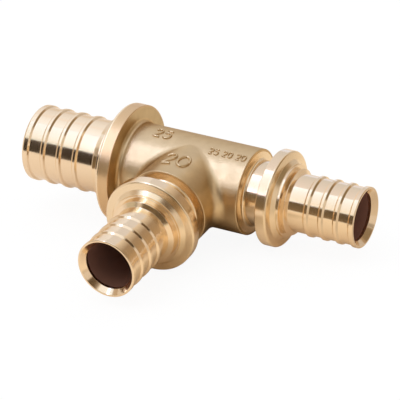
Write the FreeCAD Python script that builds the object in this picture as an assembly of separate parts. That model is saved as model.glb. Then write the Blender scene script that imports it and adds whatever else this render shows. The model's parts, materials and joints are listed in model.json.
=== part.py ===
import FreeCAD, Part
import os
from math import radians, sin, tan

from FreeCAD import Vector

# Brass reducing tee for plastic pipe: one forging, machined at its three ends.
# The run lies along X, its large spigot towards -X and its small spigot towards +X.
# The branch, a second small spigot, points along -Y, and +Z is up.
# The origin is the point where the axes of the run and of the branch cross.
# All sizes are in millimetres. A reach is measured from the origin along an arm.

# Forged body. The branch's part of it is a little slimmer than the run's, by its inset.
body_diameter = 29.2
branch_body_inset = 0.3
body_reach_right = 21.5
body_reach_branch = 22.5
saddle_fillet = 3.6
collar_root_fillet = 1.5

# Reach of each collar's back, where its spigot begins
large_collar_reach = 23.3
right_collar_reach = 28.9
branch_collar_reach = 30.0

# Large spigot, at the left end of the run
large_spigot_length = 33.2
large_bore_diameter = 21.2
large_crest_diameter = 26.2
large_rib_height = 0.6
large_rib_pitch = 6.2
large_rib_count = 3
large_first_rib = 8.05
large_tip_land = 2.2
large_tip_rounding = 0.8
large_collar_diameter = 40.7
large_collar_width = 4.7
large_stop_length = 5.9

# Small spigots, one at the right end of the run and one on the branch
small_spigot_length = 28.4
small_bore_diameter = 16.2
small_crest_diameter = 20.4
small_rib_height = 0.55
small_rib_pitch = 5.26
small_rib_count = 3
small_first_rib = 6.5
small_tip_land = 1.6
small_tip_rounding = 0.3
small_collar_diameter = 32.4
small_collar_width = 3.9
small_stop_length = 4.9

# Ribs and mouth, alike on all spigots
rib_crest_width = 0.95
rib_flank = 0.55
mouth_depth = 1.75
mouth_flare = 1.4

# Edges of a collar, the back one and the softer one at its face
collar_back_edge = 0.3
collar_face_edge = 0.7

# Stepped stop that a pipe's end meets: heights above the root of the ribs
stop_cone_height = 3.85
stop_land_height = 2.6
stop_groove_height = 0.9
stop_bead_height = 1.6
stop_soft_corner = 0.3

# Where each step of the stop lies, as a share of the stop's length
cone_start = 0.08
land_start = 0.33
groove_start = 0.53
bead_edge = 0.85

# Machined neck between the body and a small collar
neck_diameter = 22.2
neck_fillet = 0.8
neck_corner = 0.3
shoulder_slope = 0.4
shoulder_edge = 0.3

# Where the large bore ends, past the far side of the branch bore
bore_overrun = 1.5
drill_point_angle = 118.0

X_AXIS = Vector(1, 0, 0)
Z_AXIS = Vector(0, 0, 1)
ORIGIN = Vector(0, 0, 0)
TO_BRANCH = -90


def rounded_corner(before, corner, after, rounding):
    """Arc tangent to both sides of an outline's corner."""
    back = (before - corner).normalize()
    on = (after - corner).normalize()
    half_angle = back.getAngle(on) / 2
    setback = rounding / tan(half_angle)
    centre = corner + (back + on).normalize() * (rounding / sin(half_angle))
    middle = centre + (corner - centre).normalize() * rounding
    return Part.Arc(corner + back * setback, middle, corner + on * setback)


def turned(stations):
    """Solid turned about X from an outline of (x, radius, rounding) stations."""
    corners = [Vector(x, radius, 0) for x, radius, _ in stations]
    pieces = []
    for i, (_, _, rounding) in enumerate(stations):
        if rounding:
            following = corners[(i + 1) % len(corners)]
            arc = rounded_corner(corners[i - 1], corners[i], following, rounding)
            pieces.append((arc.StartPoint, arc.EndPoint, arc.toShape()))
        else:
            pieces.append((corners[i], corners[i], None))
    edges = []
    for i, (start, _, arc) in enumerate(pieces):
        end_of_last = pieces[i - 1][1]
        edges.append(Part.LineSegment(end_of_last, start).toShape())
        if arc:
            edges.append(arc)
    outline = Part.Wire(Part.__sortEdges__(edges))
    return Part.Face(outline).revolve(ORIGIN, X_AXIS, 360)


def mirrored(stations):
    """The same stations on the other side of the origin, still in order along +X."""
    return [(-x, radius, rounding) for x, radius, rounding in reversed(stations)]


def ribs(tip, first_rib, pitch, count, root, crest):
    """Stations of the ribs, in order from the collar to the tip."""
    stations = []
    for i in reversed(range(count)):
        middle = tip - first_rib - i * pitch
        crest_half = rib_crest_width / 2
        stations += [
            (middle - crest_half - rib_flank, root, 0),
            (middle - crest_half, crest, 0),
            (middle + crest_half, crest, 0),
            (middle + crest_half + rib_flank, root, 0),
        ]
    return stations


def collar_and_stop(collar_back, collar_front, collar, root, stop_length):
    """Stations of the collar's rim and face, and the cone, land, groove and bead of the stop."""
    cone_foot = collar_front + cone_start * stop_length
    land_foot = collar_front + land_start * stop_length
    groove_foot = collar_front + groove_start * stop_length
    bead_top = collar_front + bead_edge * stop_length
    return [
        (collar_back, collar, collar_back_edge),
        (collar_front, collar, collar_face_edge),
        (cone_foot, root + stop_cone_height, stop_soft_corner),
        (land_foot, root + stop_land_height, stop_soft_corner),
        (groove_foot, root + stop_land_height, 0),
        (groove_foot, root + stop_groove_height, 0),
        (bead_top, root + stop_bead_height, 0),
        (collar_front + stop_length, root, 0),
    ]


def tip_stations(tip, tip_land, tip_rounding, root, crest):
    """Stations of the flared land at the tip, down to the axis."""
    return [
        (tip - tip_land - rib_flank, root, 0),
        (tip - tip_land, crest, 0),
        (tip, crest, tip_rounding),
        (tip, 0, 0),
    ]


def branch_body_radius():
    """Radius of the branch's part of the forged body."""
    return body_diameter / 2 - branch_body_inset


def small_reach(collar_back):
    """Reach of a small spigot's tip, from that of its collar's back."""
    return collar_back + small_collar_width + small_spigot_length


def large_reach():
    """Reach of the large spigot's tip."""
    return large_collar_reach + large_collar_width + large_spigot_length


def small_spigot(collar_back):
    """Stations of a small spigot, from the back of its collar to its tip."""
    crest = small_crest_diameter / 2
    root = crest - small_rib_height
    collar = small_collar_diameter / 2
    collar_front = collar_back + small_collar_width
    tip = small_reach(collar_back)
    return [
        *collar_and_stop(collar_back, collar_front, collar, root, small_stop_length),
        *ribs(tip, small_first_rib, small_rib_pitch, small_rib_count, root, crest),
        *tip_stations(tip, small_tip_land, small_tip_rounding, root, crest),
    ]


def large_spigot(collar_back):
    """Stations of the large spigot, from the back of its collar to its tip."""
    crest = large_crest_diameter / 2
    root = crest - large_rib_height
    collar = large_collar_diameter / 2
    collar_front = collar_back + large_collar_width
    tip = large_reach()
    return [
        *collar_and_stop(collar_back, collar_front, collar, root, large_stop_length),
        *ribs(tip, large_first_rib, large_rib_pitch, large_rib_count, root, crest),
        *tip_stations(tip, large_tip_land, large_tip_rounding, root, crest),
    ]


def shoulder_and_neck(body, body_reach, collar_back):
    """Stations of the machined shoulder and of the neck behind a small collar."""
    neck = neck_diameter / 2
    return [
        (body_reach, body, shoulder_edge),
        (body_reach + shoulder_slope, neck, neck_fillet),
        (collar_back, neck, neck_corner),
    ]


def run():
    """The whole run, turned about X: large spigot, body, neck and right spigot."""
    body = body_diameter / 2
    return turned([
        *mirrored(large_spigot(large_collar_reach)),
        (-large_collar_reach, body, collar_root_fillet),
        *shoulder_and_neck(body, body_reach_right, right_collar_reach),
        *small_spigot(right_collar_reach),
    ])


def branch():
    """The whole branch, turned along X and then swung round to point along -Y."""
    body = branch_body_radius()
    solid = turned([
        (0, 0, 0),
        (0, body, 0),
        *shoulder_and_neck(body, body_reach_branch, branch_collar_reach),
        *small_spigot(branch_collar_reach),
    ])
    solid.rotate(ORIGIN, Z_AXIS, TO_BRANCH)
    return solid


def saddle_edges(solid):
    """The edges where the branch's cylinder leaves the run's cylinder."""
    return [
        edge for edge in solid.Edges
        if edge.Curve.TypeId == "Part::GeomBSplineCurve"
        and edge.BoundBox.YMax < 0
        and edge.BoundBox.ZLength > branch_body_radius() / 2
    ]


def run_bore():
    """Large bore from the left, its drill point, and the small bore from the right."""
    large = large_bore_diameter / 2
    small = small_bore_diameter / 2
    left_tip = -large_reach()
    right_tip = small_reach(right_collar_reach)
    drill_end = small + bore_overrun
    point_length = (large - small) / tan(radians(drill_point_angle / 2))
    return turned([
        (left_tip, 0, 0),
        (left_tip, large + mouth_flare, 0),
        (left_tip + mouth_depth, large, 0),
        (drill_end, large, 0),
        (drill_end + point_length, small, 0),
        (right_tip - mouth_depth, small, 0),
        (right_tip, small + mouth_flare, 0),
        (right_tip, 0, 0),
    ])


def branch_bore():
    """Small bore from the branch's mouth to the run's axis."""
    small = small_bore_diameter / 2
    tip = small_reach(branch_collar_reach)
    solid = turned([
        (0, 0, 0),
        (0, small, 0),
        (tip - mouth_depth, small, 0),
        (tip, small + mouth_flare, 0),
        (tip, 0, 0),
    ])
    solid.rotate(ORIGIN, Z_AXIS, TO_BRANCH)
    return solid


def tee_body():
    """The finished tee: both turned arms, the filleted saddle and the bores."""
    crossing = run().fuse(branch())
    forged = crossing.makeFillet(saddle_fillet, saddle_edges(crossing))
    return forged.cut([run_bore(), branch_bore()]).Solids[0]


os.makedirs("parts", exist_ok=True)
tee = tee_body()
tee.exportStep("parts/tee_body.step")
print("tee_body", "valid" if tee.isValid() else "not valid", round(tee.Volume / 1000, 2), "cm3")
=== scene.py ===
# %% [markdown]
# # A brass reducing tee for plastic pipe
# This notebook dresses one forged and machined brass fitting for its picture. The real tee is a single piece,
# so the picture has one closed mesh for its metal, with a finish of its own on each kind of surface, and the
# raised size numbers that a forging die leaves on the body.
#
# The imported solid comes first, and its box is kept before anything else is made. The reach of each end is
# measured from it. It lies with its run along X, the large spigot towards -X, and its branch towards -Y.

import json
from math import cos, pi, radians, sin, tan

import bpy
import numpy as np
from mathutils import Matrix, Vector


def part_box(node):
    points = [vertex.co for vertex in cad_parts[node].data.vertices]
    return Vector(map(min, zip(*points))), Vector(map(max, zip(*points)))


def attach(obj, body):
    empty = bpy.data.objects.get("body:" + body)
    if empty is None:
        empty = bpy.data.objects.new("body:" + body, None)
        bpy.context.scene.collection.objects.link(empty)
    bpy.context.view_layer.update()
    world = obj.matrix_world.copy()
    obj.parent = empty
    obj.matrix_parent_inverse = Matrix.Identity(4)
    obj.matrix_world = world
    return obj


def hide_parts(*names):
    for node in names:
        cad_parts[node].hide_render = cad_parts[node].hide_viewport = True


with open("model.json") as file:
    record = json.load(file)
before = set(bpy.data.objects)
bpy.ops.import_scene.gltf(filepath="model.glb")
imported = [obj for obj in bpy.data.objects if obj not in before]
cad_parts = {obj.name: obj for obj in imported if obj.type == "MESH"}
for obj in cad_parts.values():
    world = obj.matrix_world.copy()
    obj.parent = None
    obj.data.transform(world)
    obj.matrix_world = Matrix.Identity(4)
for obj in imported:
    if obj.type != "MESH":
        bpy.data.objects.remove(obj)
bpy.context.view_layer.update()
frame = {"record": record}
lowest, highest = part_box("tee_body")
MM = 0.001
print("the solid measures", [round((b - a) / MM, 1) for a, b in zip(lowest, highest)], "mm")

# %% [markdown]
# ## Grids that share their angles
# The skin is woven from grids, and neighbours have to meet point for point. So a pipe that another one
# pierces needs rows in special places: each row has to end on a point of the other pipe.
#
# A rolling ball gives them. A ball that rolls in the corner between the pipes keeps its centre off each axis
# by the pipe's radius and its own, added together. At angle a round the branch, its height is (hole radius +
# ball radius) times sin a, and its distance from the run's axis is (run radius + ball radius). With a ball of
# radius zero, this is the sharp crossing of two bores.

# %% Angles round a pipe
AROUND = 192
QUARTER = AROUND // 4
branch_angles = np.arange(AROUND) * 2 * pi / AROUND
steps = np.arange(-QUARTER, QUARTER + 1) * 2 * pi / AROUND


def rows_round(radius, hole, ball):
    """Angles round a pierced pipe, from the lowest front row over the top and back down.

    A front row's sine is (hole + ball) times the sine of an even step from -90 to 90 degrees, over (radius +
    ball). The back rows are evenly spaced over the rest of the circle.
    """
    front = np.arcsin((hole + ball) * np.sin(steps) / (radius + ball))
    back = np.linspace(front[-1], front[0] + 2 * pi, AROUND - len(front) + 2)[1:-1]
    return np.concatenate([front, back])


def around_run(distance, radius, angle):
    """A point at a distance along +X. Angle 0 points forward to -Y, and 90 degrees points up."""
    return np.stack(np.broadcast_arrays(distance, -radius * np.cos(angle), radius * np.sin(angle)), -1)


def around_left(distance, radius, angle):
    """The same round the run, at a distance along -X."""
    return around_run(-distance, radius, angle)


def around_branch(distance, radius, angle):
    """A point at a distance along -Y. Angle 0 points to +X, and 90 degrees points up."""
    return np.stack(np.broadcast_arrays(radius * np.cos(angle), -distance, radius * np.sin(angle)), -1)


print(AROUND, "points round every pipe")

# %% [markdown]
# ## The forged body
# The body is what the die left: a cylinder along X with a second one leaving it at the front, and a rounded
# corner where they meet. It could be two cylinders joined with a boolean, but that leaves long thin faces,
# and a metal shows every one of them. So the run is a grid with a hole, the corner is the path of a ball, and
# the branch's cylinder starts where the ball touches it.

# %% Grids of a pierced pipe
FORGED, TURNED_RUN, TURNED_BRANCH, BORED, SATIN, FACED = range(6)
ALONG = 10
grids = []


def add_grid(points, normals, finish, closed=True):
    """Keeps one grid of the skin, with the normal at each of its points."""
    grids.append((points, np.broadcast_to(normals, points.shape), finish, closed))


def add_pierced(radius, hole, ball, left, right, side, finish):
    """A pipe along X with a round hole at its front: three grids.

    A front row runs from the left end to -(hole + ball) times the cosine of its step, and on the other side
    from the same distance to the right end. Rows at the back run from end to end. Side is 1 for the outside
    of a pipe and -1 for a bore, whose normals point at its axis.
    """
    angles = rows_round(radius, hole, ball)
    share = np.linspace(0, 1, ALONG + 1)
    edge = (hole + ball) * np.cos(steps)[:, None]
    front = angles[:len(steps), None]
    for across in (left + (-edge - left) * share, edge + (right - edge) * share):
        add_grid(around_run(across, radius, front), side * around_run(0 * across, 1, front), finish, False)
    back = np.append(angles[len(steps) - 1:], angles[0] + 2 * pi)[:, None]
    across = np.append(left + (0 - left) * share, (right * share)[1:])[None]
    add_grid(around_run(across, radius, back), side * around_run(0 * across, 1, back), finish, False)


def add_corner(radius, hole, ball, finish, rows=12):
    """The rounded corner between run and branch: the strip that a rolling ball touches.

    Its arc swings round the ball's centre from the direction of the branch's axis to the direction of the
    run's axis, by spherical interpolation, and the normal points back at the centre.
    """
    reach = hole + ball
    depth = np.sqrt((radius + ball) ** 2 - (reach * np.sin(branch_angles)) ** 2)
    centre = around_branch(depth, reach, branch_angles)
    to_branch = -around_branch(0, 1, branch_angles)
    to_run = -centre * [0, 1, 1] / (radius + ball)
    swing = np.arccos(np.clip((to_branch * to_run).sum(-1), -1, 1))[:, None]
    share = np.linspace(0, 1, rows)[:, None, None]
    spoke = (np.sin((1 - share) * swing) * to_branch + np.sin(share * swing) * to_run) / np.sin(swing)
    add_grid(centre + ball * spoke, -spoke, finish)


def add_branch_wall(radius, hole, ball, end, side, finish):
    """The branch's own cylinder, from the line where the ball touches it out to its end."""
    touch = np.sqrt((radius + ball) ** 2 - ((hole + ball) * np.sin(branch_angles)) ** 2)
    distance = touch + (end - touch) * np.linspace(0, 1, ALONG + 1)[:, None]
    add_grid(around_branch(distance, hole, branch_angles),
             side * around_branch(0 * distance, 1, branch_angles), finish)


body_radius = 14.6 * MM
branch_radius = 14.3 * MM
saddle_ball = 3.6 * MM
body_left = -20.0 * MM
body_right = 20.9 * MM
body_branch = 21.9 * MM
add_pierced(body_radius, branch_radius, saddle_ball, body_left, body_right, 1, FORGED)
add_corner(body_radius, branch_radius, saddle_ball, FORGED)
add_branch_wall(body_radius, branch_radius, saddle_ball, body_branch, 1, FORGED)
run_angles = rows_round(body_radius, branch_radius, saddle_ball)
print(len(grids), "grids for the forged body")

# %% [markdown]
# ## A turned profile with rounded corners
# No tool leaves a perfectly sharp corner, and it is the tiny rounding of each edge that catches the light. So
# each corner of a profile becomes a short arc. The normals are worked out together with the points. Blender's
# own smooth normals would average an arc's faces with the long cylinder next to it, and bend the cylinder's
# reflections.

# %% Profile with arcs
ARC_POINTS = 5


def rounded_profile(stations):
    """Points and normals along a profile of (distance, radius, rounding) stations.

    A corner's arc touches both sides. Its centre lies on the corner's bisector, at rounding / cos(half the
    turn) from the corner. The normal stands on the left of the way along the profile, and turns evenly along
    the arc. A station whose rounding is 0 inside the profile is written twice, with the normal of each side.
    """
    corners = np.array([station[:2] for station in stations])
    way = np.diff(corners, axis=0)
    way /= np.linalg.norm(way, axis=1)[:, None]
    left = np.stack([-way[:, 1], way[:, 0]], 1)
    points, normals = [corners[:1]], [left[:1]]
    for corner, rounding, way_in, way_out, left_in, left_out in zip(
            corners[1:-1], [station[2] for station in stations[1:-1]], way, way[1:], left, left[1:]):
        if rounding:
            turn = np.arctan2(way_in[0] * way_out[1] - way_in[1] * way_out[0], way_in @ way_out)
            inward = (way_out - way_in) / np.linalg.norm(way_out - way_in)
            centre = corner + inward * rounding / cos(turn / 2)
            angle = np.arctan2(left_in[1], left_in[0]) + np.linspace(0, turn, ARC_POINTS)
            spoke = np.stack([np.cos(angle), np.sin(angle)], 1)
            points.append(centre - np.sign(turn) * rounding * spoke)
            normals.append(spoke)
        else:
            points.append([corner, corner])
            normals.append([left_in, left_out])
    return np.concatenate(points + [corners[-1:]]), np.concatenate(normals + [left[-1:]])


def add_turned(stations, place, angles, finish):
    """A profile turned about its axis. Each row of the grid is one point of the profile, carried round."""
    points, normals = rounded_profile(stations)
    along, out = points[:, :1], points[:, 1:]
    add_grid(place(along, out, angles[None]), place(normals[:, :1], normals[:, 1:], angles[None]), finish)


# %% [markdown]
# ## The large collar
# The large collar is a flange with a soft root. Its back is still forged, and its rim is skimmed with a dull
# tool. So its profile is cut into pieces, each with its own finish, and each cut lies on a straight stretch,
# where the edge of a finish can't be felt. The collar's front comes later, with the spigot next to it.

# %% Back and rim of the large collar
collar_back_edge = 0.3 * MM
collar_face_edge = 0.7 * MM
collar_root = 1.5 * MM
large_collar = 20.35 * MM
large_back = 23.3 * MM
large_front = 28.0 * MM
front_band = 1.2 * collar_face_edge
forged_end = large_collar - 2 * collar_back_edge
satin_end = large_front - front_band
add_turned([
    (-body_left, body_radius, 0),
    (large_back, body_radius, collar_root),
    (large_back, forged_end, 0),
], around_left, run_angles, FORGED)
add_turned([
    (large_back, forged_end, 0),
    (large_back, large_collar, collar_back_edge),
    (satin_end, large_collar, 0),
], around_left, run_angles, SATIN)
print("the large collar is", round(2 * large_collar / MM, 1), "mm across")

# %% [markdown]
# ## The spigots
# A pipe is pushed over a spigot, and a sleeve clamps it on the ribs. From the collar outwards the profile has
# the collar's coned face, the stepped stop that the pipe's end meets, a long band, three ribs and the flared
# land at the tip. Then it turns round the lip into the tapered mouth. The reach of each spigot is the solid's
# own box, and the radius of its ribs is in the record's mounts.

# %% Stations of a spigot
mounts = {mount["name"]: mount["dims"] for mount in frame["record"]["mounts"] if mount["kind"] == "pin"}
LARGE = {
    "bore": 10.6 * MM,
    "crest": mounts["large_spigot"]["r_mm"] * MM,
    "stop": 5.9 * MM,
    "rib_height": 0.6 * MM,
    "pitch": 6.2 * MM,
    "first_rib": 8.05 * MM,
    "tip_land": 2.2 * MM,
    "tip_rounding": 0.8 * MM,
}
SMALL = {
    "bore": 8.1 * MM,
    "crest": mounts["right_spigot"]["r_mm"] * MM,
    "stop": 4.9 * MM,
    "rib_height": 0.55 * MM,
    "pitch": 5.26 * MM,
    "first_rib": 6.5 * MM,
    "tip_land": 1.6 * MM,
    "tip_rounding": 0.3 * MM,
}
rib_half = 0.475 * MM
rib_flank = 0.55 * MM
mouth_depth = 1.75 * MM
mouth_flare = 1.4 * MM
bore_start = 2.75 * MM

# Heights of the stop's steps above the root of the ribs, and where each lies as a share of the stop's length
cone_height, land_height, groove_height, bead_height = 3.85 * MM, 2.6 * MM, 0.9 * MM, 1.6 * MM
CONE_START, LAND_START, GROOVE_START, BEAD_TOP = 0.08, 0.33, 0.53, 0.85

# Roundings of the edges: at the stop's cone, on most other edges, and at the foot of the groove
cone_edge = 0.3 * MM
soft_edge = 0.15 * MM
crisp_edge = 0.06 * MM


def stop(front, collar, root, length):
    """Stations of the collar's front edge and face, then the cone, land, groove and bead of the stop."""
    return [
        (front, collar, collar_face_edge),
        (front + CONE_START * length, root + cone_height, cone_edge),
        (front + LAND_START * length, root + land_height, cone_edge),
        (front + GROOVE_START * length, root + land_height, soft_edge),
        (front + GROOVE_START * length, root + groove_height, crisp_edge),
        (front + BEAD_TOP * length, root + bead_height, soft_edge),
        (front + length, root, soft_edge),
    ]


def rib(middle, root, crest):
    """Stations of one rib: up a flank, along the crest and down the other flank."""
    return [
        (middle - rib_half - rib_flank, root, soft_edge),
        (middle - rib_half, crest, soft_edge),
        (middle + rib_half, crest, soft_edge),
        (middle + rib_half + rib_flank, root, soft_edge),
    ]


def tip(size, reach, root):
    """Stations of the flared land, the lip, the tapered mouth and the start of the bore."""
    return [
        (reach - size["tip_land"] - rib_flank, root, soft_edge),
        (reach - size["tip_land"], size["crest"], soft_edge),
        (reach, size["crest"], size["tip_rounding"]),
        (reach, size["bore"] + mouth_flare, soft_edge),
        (reach - mouth_depth, size["bore"], soft_edge),
        (reach - bore_start, size["bore"], 0),
    ]


def spigot(size, front, collar, reach):
    """All stations from the collar's front edge to the start of the bore."""
    root = size["crest"] - size["rib_height"]
    middles = [reach - size["first_rib"] - i * size["pitch"] for i in (2, 1, 0)]
    ribs = [station for middle in middles for station in rib(middle, root, size["crest"])]
    return stop(front, collar, root, size["stop"]) + ribs + tip(size, reach, root)


print("ribs of", [round(2 * size["crest"] / MM, 1) for size in (LARGE, SMALL)], "mm")

# %% [markdown]
# ## Three turned ends
# The two small ends are machined from the shoulder outwards: a cutter has taken the forging down to a neck
# behind each small collar. The grooves that a cutter leaves run round the axis, so the branch gets a finish
# of its own, whose lines run round the branch. The faces that lie across the axis are the shoulder, the
# collar's front and the stop's cone. They are cut with a broader tool, and are a little duller.

# %% Turn the ends
small_collar = 16.2 * MM
small_collar_width = 3.9 * MM
neck = 11.1 * MM
neck_fillet = 0.8 * MM
neck_corner = 0.3 * MM
shoulder_slope = 0.4 * MM
shoulder_edge = 0.3 * MM
FORGED_SHARE = 0.25
faced_neck = 0.75 * MM


def add_spigot(size, front, collar, reach, rim_end, place, angles, finish):
    """A collar's front and a spigot. It has the cross-cut finish down to the middle of the stop's land."""
    stations = spigot(size, front, collar, reach)
    (land_start, land, _), (land_end, _, _) = stations[2:4]
    split = ((land_start + land_end) / 2, land, 0)
    add_turned([rim_end] + stations[:3] + [split], place, angles, FACED)
    add_turned([split] + stations[3:], place, angles, finish)


def add_small_end(seam, shoulder, body, back, reach, place, angles, finish):
    """The shoulder, neck, collar and spigot of a small end.

    A share of the shoulder keeps the forging's finish, and the cross-cut one reaches a little up the neck.
    """
    foot = shoulder + shoulder_slope
    edge_end = (shoulder + FORGED_SHARE * shoulder_slope, body + FORGED_SHARE * (neck - body), 0)
    face_end = (foot + faced_neck, neck, 0)
    front = back + small_collar_width
    rim_end = (front - front_band, small_collar, 0)
    add_turned([(seam, body, 0), (shoulder, body, shoulder_edge), edge_end], place, angles, FORGED)
    add_turned([edge_end, (foot, neck, neck_fillet), face_end], place, angles, FACED)
    add_turned([face_end, (back, neck, neck_corner), (back, small_collar, collar_back_edge), rim_end],
               place, angles, finish)
    add_spigot(SMALL, front, small_collar, reach, rim_end, place, angles, finish)


large_reach, right_reach, branch_reach = -lowest.x, highest.x, -lowest.y
right_shoulder, right_back = 21.5 * MM, 28.9 * MM
branch_shoulder, branch_back = 22.5 * MM, 30.0 * MM
add_spigot(LARGE, large_front, large_collar, large_reach, (satin_end, large_collar, 0),
           around_left, run_angles, TURNED_RUN)
add_small_end(body_right, right_shoulder, body_radius, right_back, right_reach,
              around_run, run_angles, TURNED_RUN)
add_small_end(body_branch, branch_shoulder, branch_radius, branch_back, branch_reach,
              around_branch, branch_angles, TURNED_BRANCH)
print("three ends, reaching", [round(r / MM, 1) for r in (large_reach, right_reach, branch_reach)], "mm")

# %% [markdown]
# ## The bores
# Inside, the large bore comes from the left and ends in the cone of its drill, just past the branch. Two
# small bores meet it. The crossing of the bores is the same grid as the body's, with a ball of radius zero,
# so the skin stays closed all the way through. Between a mouth and the crossing, the rows slide from one list
# of angles to the other while they stay on the same cylinder.

# %% Bore the three ways
crossing_left = -9.5 * MM
drill_end = 9.6 * MM
drill_half_angle = radians(59)
drill_point = (LARGE["bore"] - SMALL["bore"]) / tan(drill_half_angle)
bore_angles = rows_round(LARGE["bore"], SMALL["bore"], 0)


def add_bore(radius, mouth, inner, place):
    """The straight bore between a mouth and the crossing: distance and angles both slide evenly."""
    share = np.linspace(0, 1, ALONG + 1)[:, None]
    distance = mouth + (inner - mouth) * share
    angles = run_angles + (bore_angles - run_angles) * share
    add_grid(place(distance, radius, angles), -place(0 * distance, 1, angles), BORED)


add_bore(LARGE["bore"], large_reach - bore_start, -crossing_left, around_left)
add_pierced(LARGE["bore"], SMALL["bore"], 0, crossing_left, drill_end, -1, BORED)
add_branch_wall(LARGE["bore"], SMALL["bore"], 0, branch_reach - bore_start, -1, BORED)
add_bore(SMALL["bore"], right_reach - bore_start, drill_end + drill_point, around_run)
cone_ends = np.array([[drill_end, LARGE["bore"]], [drill_end + drill_point, SMALL["bore"]]])
cone_normal = np.array([[-sin(drill_half_angle), -cos(drill_half_angle)]])
add_grid(around_run(cone_ends[:, :1], cone_ends[:, 1:], bore_angles[None]),
         around_run(cone_normal[:, :1], cone_normal[:, 1:], bore_angles[None]), BORED)
print(len(grids), "grids in all")

# %% [markdown]
# ## Weave the skin
# The grids become one mesh. Points that fall on the same thousandth of a millimetre are one point, which
# closes all seams, and each face keeps the normals of its own grid, so a sharp crossing stays sharp. A grid
# whose faces run the wrong way round is turned over, by comparing them with its normals.

# %% One closed mesh
weld_step = 0.001 * MM
OFF_STEP = 0.27  # moves round sizes away from the borders between two steps


def grid_faces(points, normals, closed):
    """Corner numbers of a grid's faces, wound so that they face the same way as the normals."""
    rows, columns = points.shape[:2]
    number = np.arange(rows * columns).reshape(rows, columns)
    if closed:
        number = np.concatenate([number, number[:, :1]], 1)
    corners = np.stack([number[:-1, :-1], number[:-1, 1:], number[1:, 1:], number[1:, :-1]], -1)
    corners = corners.reshape(-1, 4)
    flat, flat_normals = points.reshape(-1, 3), normals.reshape(-1, 3)
    facing = np.cross(flat[corners[:, 2]] - flat[corners[:, 0]], flat[corners[:, 3]] - flat[corners[:, 1]])
    wrong = (facing * flat_normals[corners].sum(1)).sum() < 0
    return corners[:, ::-1] if wrong else corners


def woven(name, grids, materials):
    """One mesh object from grids of (points, normals, finish, closed)."""
    points = np.concatenate([grid[0].reshape(-1, 3) for grid in grids])
    normals = np.concatenate([grid[1].reshape(-1, 3) for grid in grids])
    starts = np.cumsum([0] + [grid[0].shape[0] * grid[0].shape[1] for grid in grids])
    faces = [grid_faces(grid[0], grid[1], grid[3]) + start for grid, start in zip(grids, starts)]
    finishes = np.concatenate([np.full(len(part), grid[2]) for part, grid in zip(faces, grids)])
    corners = np.concatenate(faces)
    key = np.round(points / weld_step + OFF_STEP).astype(np.int64)
    _, first, shared = np.unique(key, axis=0, return_index=True, return_inverse=True)
    welded = shared.reshape(-1)[corners]
    whole = (np.diff(np.sort(welded, axis=1), axis=1) > 0).sum(1) == 3
    kept = welded[whole]
    mesh = bpy.data.meshes.new(name)
    mesh.from_pydata(points[first], [], kept)
    mesh.polygons.foreach_set("material_index", finishes[whole].astype(np.int32))
    mesh.polygons.foreach_set("use_smooth", np.ones(len(kept), bool))
    for material in materials:
        mesh.materials.append(material)
    mesh.normals_split_custom_set(normals[corners[whole]].reshape(-1, 3))
    edges = np.sort(np.stack([kept, np.roll(kept, -1, 1)], -1).reshape(-1, 2), 1)
    _, uses = np.unique(edges, axis=0, return_counts=True)
    print(name, "has", 2 * len(kept), "triangles,", (uses != 2).sum(), "open edges,",
          (~whole).sum(), "left out")
    piece = bpy.data.objects.new(name, mesh)
    bpy.context.scene.collection.objects.link(piece)
    return piece


# %% [markdown]
# ## Brass as the cutter leaves it
# Machined brass is bright, but it isn't a mirror: the tool leaves fine rings round the axis. They are a noise
# of a single number, the distance along the axis plus the distance from the axis, so the rings follow
# cylinders, cones and flat faces alike. A second, slow noise lets the colour and the polish vary a little
# from place to place.

# %% Machined brass
def add_node(tree, kind, inputs=(), **settings):
    """A node with its settings, and its inputs given as (name or number, value or socket)."""
    node = tree.nodes.new(kind)
    for name, value in settings.items():
        setattr(node, name, value)
    for name, value in inputs:
        if isinstance(value, bpy.types.NodeSocket):
            tree.links.new(value, node.inputs[name])
        else:
            node.inputs[name].default_value = value
    return node


def metal(name):
    """A new material with a metallic shader, and the tree to add to it."""
    material = bpy.data.materials.new(name)
    material.use_nodes = True
    shader = material.node_tree.nodes["Principled BSDF"]
    shader.inputs["Metallic"].default_value = 1
    return material, material.node_tree, shader


def blend_colours(tree, factor, low, high):
    """A colour between two, by a factor from 0 to 1. Each colour is three numbers or a socket."""
    low, high = (value if isinstance(value, bpy.types.NodeSocket) else (*value, 1) for value in (low, high))
    mix = add_node(tree, "ShaderNodeMix", [("Factor", factor), ("A", low), ("B", high)], data_type="RGBA")
    return mix.outputs["Result"]


def map_range(tree, value, low, high, new_low, new_high):
    """A value moved from one range to another, and held inside it."""
    node = add_node(tree, "ShaderNodeMapRange", [("Value", value), ("From Min", low), ("From Max", high),
                                                 ("To Min", new_low), ("To Max", new_high)])
    return node.outputs["Result"]


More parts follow.
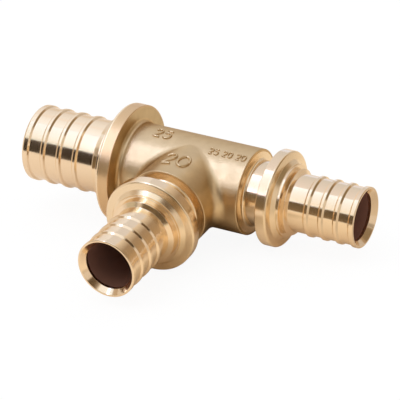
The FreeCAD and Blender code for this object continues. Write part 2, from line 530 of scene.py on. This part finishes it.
def turned_brass(name, axis, roughness=0.11, light=(0.94, 0.765, 0.54), dark=(0.92, 0.745, 0.52)):
    """Brass with the cutter's rings round an axis. The ring's number is (along the axis) + (off the axis)."""
    material, tree, shader = metal(name)
    place = add_node(tree, "ShaderNodeTexCoord").outputs["Object"]
    across = tuple(0 if i == axis else 1 for i in range(3))
    off_axis = add_node(tree, "ShaderNodeVectorMath", [(0, place), (1, across)], operation="MULTIPLY")
    off_axis = add_node(tree, "ShaderNodeVectorMath", [(0, off_axis.outputs[0])], operation="LENGTH")
    along = add_node(tree, "ShaderNodeSeparateXYZ", [(0, place)])
    ring = add_node(tree, "ShaderNodeMath", [(0, along.outputs[axis]), (1, off_axis.outputs["Value"])],
                    operation="ADD")
    rings = add_node(tree, "ShaderNodeTexNoise", [("W", ring.outputs[0]), ("Scale", 5200.0), ("Detail", 2.0)],
                     noise_dimensions="1D")
    polish = add_node(tree, "ShaderNodeTexNoise", [("Vector", place), ("Scale", 90.0), ("Detail", 3.0)])
    bump = add_node(tree, "ShaderNodeBump", [("Strength", 0.35), ("Distance", 0.004 * MM),
                                             ("Height", rings.outputs[0])])
    tree.links.new(bump.outputs[0], shader.inputs["Normal"])
    tree.links.new(blend_colours(tree, polish.outputs[0], light, dark), shader.inputs["Base Color"])
    tree.links.new(map_range(tree, polish.outputs[0], 0.3, 0.7, roughness, roughness + 0.05),
                   shader.inputs["Roughness"])
    return material


run_finish = turned_brass("brass_turned_along_run", 0)
branch_finish = turned_brass("brass_turned_along_branch", 1)
# The skimmed rim is rougher, and its darker, deeper colour is painted shade and painted reflection of the
# brass round it
satin_finish = turned_brass("brass_skimmed", 0, 0.27, (0.76, 0.536, 0.30), (0.71, 0.493, 0.272))
faced_finish = turned_brass("brass_faced", 0, 0.20, (0.94, 0.77, 0.53), (0.92, 0.75, 0.51))
bore_finish = turned_brass("brass_bored", 0, 0.36, (0.50, 0.268, 0.19), (0.40, 0.204, 0.145))
bore_finish.node_tree.nodes["Principled BSDF"].inputs["Metallic"].default_value = 0.7
print("five machined finishes")

# %% [markdown]
# ## Brass as the die leaves it
# The forging is blasted clean before it is machined, so it has a fine even grain and a softer, duller shine.
# The grain is a noise of a third of a millimetre and finer, over dents of two millimetres from the die. Both
# only move the normal. A third noise, in patches of three millimetres, varies the colour and the shine.

# %% Forged brass
forged_finish, tree, shader = metal("brass_forged")
place = add_node(tree, "ShaderNodeTexCoord").outputs["Object"]
grain = add_node(tree, "ShaderNodeTexNoise", [("Vector", place), ("Scale", 2800.0), ("Detail", 4.0)])
dents = add_node(tree, "ShaderNodeTexNoise", [("Vector", place), ("Scale", 420.0), ("Detail", 2.0)])
patches = add_node(tree, "ShaderNodeTexNoise", [("Vector", place), ("Scale", 300.0), ("Detail", 6.0)])
slow = add_node(tree, "ShaderNodeBump", [("Strength", 0.5), ("Distance", 0.08 * MM),
                                         ("Height", dents.outputs[0])])
fine = add_node(tree, "ShaderNodeBump", [("Strength", 0.5), ("Distance", 0.05 * MM),
                                         ("Height", grain.outputs[0]), ("Normal", slow.outputs[0])])
tree.links.new(fine.outputs[0], shader.inputs["Normal"])
shader.inputs["Specular Tint"].default_value = (0.62, 0.52, 0.42, 1)
tree.links.new(blend_colours(tree, patches.outputs[0], (0.82, 0.635, 0.385), (0.65, 0.50, 0.295)),
               shader.inputs["Base Color"])
tree.links.new(map_range(tree, patches.outputs[0], 0.3, 0.7, 0.30, 0.38), shader.inputs["Roughness"])
print("one forged finish")

# %% [markdown]
# ## One skin for the whole tee
# Now every grid can be woven with the finish that it names. The skin rides on the tee's frame, and it takes
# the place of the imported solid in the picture.

# %% Weave the tee
finishes = [forged_finish, run_finish, branch_finish, bore_finish, satin_finish, faced_finish]
tee = woven("tee_skin", grids, finishes)
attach(tee, "root")
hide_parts("tee_body")

# %% [markdown]
# ## The raised size numbers
# A forging die has its marks cut into it, so they stand up from the part. Fitters need the sizes of the three
# pipes, and plain numbers say them. Each digit is a few strokes, drawn flat in a box of height one. A stroke
# is a tube along its line, flattened, with rounded ends, and half of it is sunk in the body. Last, the flat
# drawing is bent round the cylinder.

# %% Strokes of the digits
def arc(centre, radii, start, end, count=20):
    """Points of an ellipse's arc between two angles in degrees."""
    angle = np.radians(np.linspace(start, end, count))
    return np.stack([centre[0] + radii[0] * np.cos(angle), centre[1] + radii[1] * np.sin(angle)], 1)


def line(start, end, count=8):
    """Evenly spaced points between two points."""
    return np.array(start) + (np.array(end) - start) * np.linspace(0, 1, count)[:, None]


DIGITS = {
    "0": [arc((0.3, 0.5), (0.3, 0.5), 0, 360, 40)],
    "2": [np.concatenate([arc((0.3, 0.7), (0.28, 0.3), 165, -30), line((0.46, 0.46), (0.02, 0.02))]),
          line((0.02, 0.0), (0.6, 0.0))],
    "5": [line((0.54, 1.0), (0.1, 1.0)), line((0.1, 1.0), (0.06, 0.55)),
          arc((0.27, 0.34), (0.31, 0.34), 130, -140, 26)],
}


def stroke_tube(path, half_width, height, rings=24, sides=10):
    """A flattened tube along a flat path, with rounded ends.

    At a distance s from the nearer end, the tube is sqrt(1 - (1 - s / half width) squared) of its full
    section, up to half a width from the end, as on a hemisphere. Returned are (across, up, height) places.
    """
    length = np.append(0, np.cumsum(np.linalg.norm(np.diff(path, axis=0), axis=1)))
    whole = length[-1]
    near = np.array([0.02, 0.3, 0.7, 1.0]) * half_width
    between = np.linspace(half_width, whole - half_width, rings)
    where = np.unique(np.concatenate([near, whole - near, between]))
    middle = np.stack([np.interp(where, length, path[:, i]) for i in (0, 1)], 1)
    way = np.gradient(middle, axis=0)
    way /= np.linalg.norm(way, axis=1)[:, None]
    side = np.stack([-way[:, 1], way[:, 0]], 1)
    from_end = np.clip(np.minimum(where, whole - where) / half_width, 0, 1)
    swell = np.sqrt(1 - (1 - from_end) ** 2)[:, None]
    angle = np.arange(sides) * 2 * pi / sides
    across = half_width * swell * np.cos(angle)
    flat = middle[:, None] + side[:, None] * across[..., None]
    return np.concatenate([flat, (height * swell * np.sin(angle))[..., None]], -1)


print("digits", " ".join(DIGITS))

# %% [markdown]
# Every number has a place and a height of its own. The strokes of one number share a mesh, and each stroke is
# closed at its ends with a small fan.

# %% Numbers on the body
DIGIT_WIDTH, DIGIT_GAP, SPACE_WIDTH = 0.6, 0.24, 0.4


def number_piece(name, text, size, bend, half_width, height):
    """A number as one mesh. The bend takes (across, up, height) in metres to a place on the body.

    The widths of a digit, a gap and a space are shares of the size. The whole number is centred on its place.
    """
    points, faces, count = [], [], 0
    pen = np.cumsum([0] + [SPACE_WIDTH if digit == " " else DIGIT_WIDTH + DIGIT_GAP for digit in text])
    for digit, across in zip(text, pen):
        for path in DIGITS.get(digit, []):
            path = (path + [across - (pen[-1] - DIGIT_GAP) / 2, -0.5]) * size
            tube = stroke_tube(path, half_width, height)
            rows, sides = tube.shape[:2]
            index = count + np.arange(rows * sides).reshape(rows, sides)
            after = np.roll(index, -1, 1)
            quads = np.stack([index[:-1], index[1:], after[1:], after[:-1]], -1).reshape(-1, 4)
            caps = [index[0].tolist(), index[-1][::-1].tolist()]
            faces += quads.tolist() + caps
            points.append(bend(tube.reshape(-1, 3)))
            count += rows * sides
    mesh = bpy.data.meshes.new(name)
    mesh.from_pydata(np.concatenate(points), [], faces)
    mesh.polygons.foreach_set("use_smooth", np.ones(len(faces), bool))
    mesh.materials.append(forged_finish)
    piece = bpy.data.objects.new(name, mesh)
    bpy.context.scene.collection.objects.link(piece)
    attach(piece, "root")
    return piece


def on_run(x, angle):
    """Bends a flat drawing round the run: across goes along X, up goes round the axis."""
    return lambda flat: around_run(flat[:, 0] + x, body_radius + flat[:, 2],
                                   radians(angle) + flat[:, 1] / body_radius)


def on_branch(y, angle):
    """Bends a flat drawing round the branch: across goes round the axis, up goes back towards the run."""
    return lambda flat: around_branch(-y - flat[:, 1], branch_radius + flat[:, 2],
                                      radians(angle) - flat[:, 0] / branch_radius)


number_piece("number_left", "25", 4.3 * MM, on_run(-12.2 * MM, 88), 0.40 * MM, 0.50 * MM)
number_piece("number_right", "25 20 20", 2.4 * MM, on_run(13.3 * MM, 75.5), 0.26 * MM, 0.40 * MM)
number_piece("number_branch", "20", 6.2 * MM, on_branch(-13.6 * MM, 91), 0.50 * MM, 0.60 * MM)
print("three numbers")

# %% [markdown]
# ## The camera
# The picture was taken with a long lens from a little over 80 centimetres, at 29 degrees round from the
# branch and 30 degrees up, with the camera leaning a little to one side. It aims a little beside and below
# the point where the axes cross.

# %% Camera
azimuth, elevation, lean = radians(29.02), radians(30.50), radians(-2.30)
distance = 818.9 * MM
AIM_RIGHT_MM, AIM_DOWN_MM = 0.55, 7.14
back = Vector((sin(azimuth) * cos(elevation), -cos(azimuth) * cos(elevation), sin(elevation)))
level = Vector((cos(azimuth), sin(azimuth), 0))
upright = back.cross(level)
right = level * cos(lean) + upright * sin(lean)
up = upright * cos(lean) - level * sin(lean)
aim = right * AIM_RIGHT_MM * MM - up * AIM_DOWN_MM * MM
stand = aim + back * distance
lens = bpy.data.cameras.new("photograph")
lens.sensor_width = 36
lens.lens = 221.1
camera = bpy.data.objects.new("photograph", lens)
camera.matrix_world = Matrix.Translation(stand) @ Matrix((right, up, back)).transposed().to_4x4()
bpy.context.scene.collection.objects.link(camera)
bpy.context.scene.camera = camera
print("camera at", [round(value, 3) for value in stand])

# %% [markdown]
# ## The floor
# The tee lies on its three collars. Their sizes differ, so it would lean over by a few degrees on a level
# table. The solid keeps its own frame, so here the floor leans instead: it is the plane that touches all
# three rims.
#
# The camera sees the floor nearly white, with only a trace of the tee's shadow. In the metal a plain white
# floor would look too bright and too cold, so reflections see a floor painted in warmer colours, from the
# left to the right, with painted shade on the right and painted shadows where the tee keeps the light away.

# %% Floor under the three collars
def stage_plane(name, corners, material):
    """A flat four-sided sheet that belongs to the studio, from its corners."""
    mesh = bpy.data.meshes.new(name)
    mesh.from_pydata(corners, [], [(0, 1, 2, 3)])
    mesh.materials.append(material)
    plane = bpy.data.objects.new(name, mesh)
    bpy.context.scene.collection.objects.link(plane)
    return plane


def ray_is(tree, kind):
    """1 for a ray of the given kind, and 0 for all others."""
    return add_node(tree, "ShaderNodeLightPath").outputs[kind]


# What reflections see of the floor, all painted: three colours along X, the right one darker as painted
# shade, and the painted shadows, each with its middle, the radius inside which it is full, the radius at
# which it ends, and its colour. All places are in metres.
LEFT_TINT, MIDDLE_TINT, RIGHT_TINT = (0.79, 0.70, 0.63), (0.84, 0.71, 0.56), (0.60, 0.50, 0.40)
PAINTED_SHADOWS = {
    "under the branch": ((0.012, -0.040, -0.020), 0.012, 0.024, (0.65, 0.53, 0.39)),
    "behind the run": ((0.010, 0.070, -0.024), 0.012, 0.030, (0.58, 0.54, 0.48)),
    "close under the body": ((0.011, -0.004, -0.018), 0.006, 0.018, (0.22, 0.16, 0.11)),
}
PAPER_TINT = (0.95, 0.95, 0.95)
WHITE_SHARE = 0.92  # of plain white in what the camera sees

floor_finish = bpy.data.materials.new("floor_white")
floor_finish.use_nodes = True
tree = floor_finish.node_tree
tree.nodes.clear()
place = add_node(tree, "ShaderNodeTexCoord").outputs["Object"]
along = add_node(tree, "ShaderNodeSeparateXYZ", [(0, place)]).outputs["X"]
# Painted reflection: the colour that only glossy rays see, with painted shade on the right and painted
# shadows round the tee
mirrored = blend_colours(tree, map_range(tree, along, -0.05, 0.02, 0, 1), LEFT_TINT, MIDDLE_TINT)
mirrored = blend_colours(tree, map_range(tree, along, 0.05, 0.075, 0, 1), mirrored, RIGHT_TINT)
for centre, inner, outer, tint in PAINTED_SHADOWS.values():
    away = add_node(tree, "ShaderNodeVectorMath", [(0, place), (1, centre)], operation="DISTANCE")
    mirrored = blend_colours(tree, map_range(tree, away.outputs["Value"], inner, outer, 0, 1), tint, mirrored)
colour = blend_colours(tree, ray_is(tree, "Is Glossy Ray"), PAPER_TINT, mirrored)
paper = add_node(tree, "ShaderNodeBsdfDiffuse", [("Color", colour)])
white = add_node(tree, "ShaderNodeEmission", [("Color", (1, 1, 1, 1)), ("Strength", 1.0)])
share = add_node(tree, "ShaderNodeMath", [(0, ray_is(tree, "Is Camera Ray")), (1, WHITE_SHARE)],
                 operation="MULTIPLY")
mixed = add_node(tree, "ShaderNodeMixShader",
                 [(0, share.outputs[0]), (1, paper.outputs[0]), (2, white.outputs[0])])
add_node(tree, "ShaderNodeOutputMaterial", [("Surface", mixed.outputs[0])])

# Where the lowest edge of each rim touches the floor, along its arm. The floor's height is taken under the
# origin, and its corners lie two metres out along X and Y.
touch_left, touch_right, touch_branch = -23.5 * MM, 32.2 * MM, 33.3 * MM
slope_x = (large_collar - small_collar) / (touch_right - touch_left)
floor_height = -large_collar - slope_x * touch_left
slope_y = -(floor_height + small_collar) / touch_branch
far = 2
corners = [(x, y, floor_height + slope_x * x - slope_y * y)
           for x, y in ((-far, -far), (far, -far), (far, far), (-far, far))]
stage_plane("floor", corners, floor_finish)
print("the floor leans", round(np.degrees(np.hypot(slope_x, slope_y)), 1), "degrees")

# %% [markdown]
# ## Cards for the metal to show
# A polished metal shows its surroundings more than its own colour. Photographers put cards round such a
# piece: a bright one over it draws the white line along each cylinder, and a dark one under that draws the
# dark line. A card here is a sheet parallel to one of the axes, given by the angles between which that axis
# sees it. Only reflections see the cards, so they neither light the floor nor stand in the picture.
#
# The bright card is a soft box in strips along the run. The strip that the dull forging shows is the
# strongest, and those that the polished spigots show are gentler. The dark cards hang below it on the near
# side, with a small pale one before them for the branch's stop. The others stand overhead, at the sides and
# behind, and give the upper half of the metal its grey and its warm tones. The warm browns of the cards are
# painted reflections of the tee's own brass and of its shade.

# %% Cards
def glow(name, low, high, bottom, top):
    """A material that shines from one colour at its bottom to another at its top, by height."""
    material = bpy.data.materials.new(name)
    material.use_nodes = True
    tree = material.node_tree
    tree.nodes.clear()
    place = add_node(tree, "ShaderNodeTexCoord").outputs["Object"]
    height = add_node(tree, "ShaderNodeSeparateXYZ", [(0, place)]).outputs["Z"]
    colour = blend_colours(tree, map_range(tree, height, bottom, top, 0, 1), low, high)
    shine = add_node(tree, "ShaderNodeEmission", [("Color", colour)])
    add_node(tree, "ShaderNodeOutputMaterial", [("Surface", shine.outputs[0])])
    return material


def card(name, along, angles, reach, low, high=None, away=0.45):
    """A sheet beside the run's axis or the branch's, between two angles and two distances along it.

    The sheet is a chord: both of its edges lie on the circle of radius away / cos(half its angle). Its colour
    goes from low at its bottom to high at its top, or is low all over.
    """
    half = radians(angles[1] - angles[0]) / 2
    place = around_run if along == "run" else around_branch
    rim = away / cos(half)
    (start, end), (first, last) = reach, angles
    corners = [place(np.array(x), rim, np.array(radians(angle))).tolist()
               for x, angle in ((start, first), (end, first), (end, last), (start, last))]
    heights = sorted(corner[2] for corner in corners)
    sheet = stage_plane(name, corners, glow(name, low, high or low, heights[0], heights[-1]))
    for ray in ("camera", "diffuse", "shadow", "transmission"):
        setattr(sheet, "visible_" + ray, False)


# The cards' warm browns are painted reflections of the brass and of its shade
card("soft_box_left", "run", (29, 91), (-0.38, -0.24), (0.98, 0.99, 0.98), (1.12, 1.32, 1.70))
card("soft_box", "run", (29, 91), (-0.24, -0.194), (3.9, 4.0, 5.7))
card("soft_box_right", "run", (29, 91), (-0.194, 0.05), (0.98, 0.93, 0.87), (1.12, 1.27, 1.57))
card("soft_box_edge", "run", (29, 91), (-0.75, -0.38), (0.56, 0.43, 0.32))
card("dark_left", "run", (-14, 34), (-0.2, -0.12), (0.024, 0.016, 0.008), (0.034, 0.023, 0.017), away=0.22)
card("pale_left", "run", (5, 18), (-0.056, -0.031), (0.60, 0.53, 0.42), away=0.081)
card("dark_right", "run", (-9, 30), (-0.046, 0.003), (0.25, 0.175, 0.10), (0.13, 0.09, 0.053), away=0.14)
card("dark_front", "run", (-9, 30), (0.003, 0.075), (0.17, 0.12, 0.072), (0.09, 0.066, 0.043), away=0.14)
card("camera_side", "run", (31, 52), (0.07, 0.40), (0.14, 0.086, 0.043))
card("top_left", "run", (92, 165), (-0.75, -0.22), (0.81, 0.775, 0.785), (1.12, 1.20, 1.41))
card("top_right", "run", (92, 165), (-0.22, 0.02), (0.69, 0.695, 0.735), (0.89, 0.85, 0.92))
card("over_right", "run", (78, 122), (0.11, 0.46), (0.40, 0.33, 0.25))
card("far_right", "run", (58, 78), (0.60, 0.77), (0.33, 0.28, 0.24))
card("back_right", "run", (150, 184), (0.0, 0.25), (0.62, 0.55, 0.50))
card("back_left", "run", (166, 184), (-0.225, -0.11), (0.85, 0.90, 1.08))
card("right_side", "branch", (18, 55), (-0.385, 0.03), (0.24, 0.178, 0.11), (0.32, 0.238, 0.15), away=0.44)
card("behind_low", "branch", (6, 52), (-0.70, -0.20), (0.50, 0.34, 0.186), (0.40, 0.29, 0.20))
card("behind_high", "branch", (52, 88), (-0.70, -0.20), (0.36, 0.26, 0.175), (0.88, 0.77, 0.65))
card("top_behind", "branch", (95, 165), (-0.70, -0.20), (0.90, 0.845, 0.85), (1.05, 1.05, 1.18))
print("cards on four sides and overhead")

# %% [markdown]
# ## The world and the lamp
# An even white world lights the scene, and a wide soft lamp over the left front gives the shadow a direction.
# Reflections don't see the lamp, and where no card stands they see the world in a warm grey.

# %% World and lamp
world = bpy.data.worlds.new("studio")
world.use_nodes = True
tree = world.node_tree
tree.links.new(blend_colours(tree, ray_is(tree, "Is Glossy Ray"), (1, 1, 1), (0.78, 0.685, 0.605)),
               tree.nodes["Background"].inputs["Color"])
bpy.context.scene.world = world

light = bpy.data.lights.new("soft_lamp", "AREA")
light.shape = "DISK"
light.size = 1.2
light.energy = 4.0
lamp = bpy.data.objects.new("soft_lamp", light)
above = Vector((-0.35, -0.45, 1.1))
lamp.matrix_world = Matrix.Translation(above) @ above.to_track_quat("Z", "Y").to_matrix().to_4x4()
lamp.visible_glossy = False
bpy.context.scene.collection.objects.link(lamp)
bpy.context.scene.view_settings.view_transform = "Standard"
print("world and lamp")
